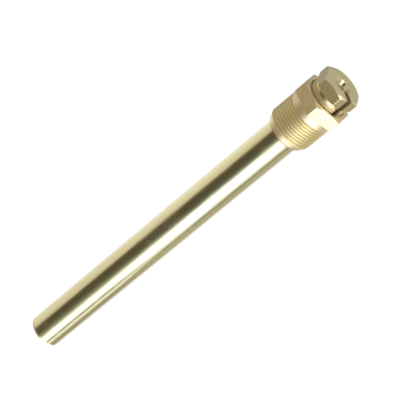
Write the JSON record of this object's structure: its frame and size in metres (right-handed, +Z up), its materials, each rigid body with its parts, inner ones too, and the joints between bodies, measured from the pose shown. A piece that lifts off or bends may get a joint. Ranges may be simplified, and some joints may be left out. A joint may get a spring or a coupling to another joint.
{
  "type": "thermowell",
  "caption": "Closed brass pocket tube in a threaded hexagon bush, with a slotted gland nut that clamps a capillary.",
  "frame": {"origin": "on the pocket's axis, in the sealing shoulder under the bush's hexagon, where the process thread ends", "axes": "+Z up the axis to the gland nut, the closed end points to -Z; a corner of the bush's hexagon points to -Y"},
  "size_m": [0.027, 0.0312, 0.2388],
  "materials": {
    "drawn_brass": "polished drawn tube",
    "turned_brass": "bright turned",
    "solder": "smooth brazing fillet",
    "packing_rubber": "matt black"
  },
  "bodies": {
    "pocket": {"pocket_tube": "drawn_brass", "end_plug": "drawn_brass", "threaded_bush": "turned_brass", "solder_ring": "solder", "lower_washer": "turned_brass", "packing_ring": "packing_rubber"},
    "gland_carrier": {"thrust_washer": "turned_brass"},
    "gland": {"gland_nut": "turned_brass"}
  },
  "joints": [
    {"name": "gland_travel", "type": "slide", "parent": "pocket", "child": "gland_carrier", "axis": [0, 0, 1], "range_m": [-0.00125, 0.00625]},
    {"name": "gland_turn", "type": "hinge", "parent": "gland_carrier", "child": "gland", "pos_m": [0, 0, 0.012], "axis": [0, 0, 1], "range_deg": [-360, 1800]}
  ],
  "couplings": [
    {"joint": "gland_turn", "follows": "gland_travel", "rad_per_m": 5026.5}
  ]
}
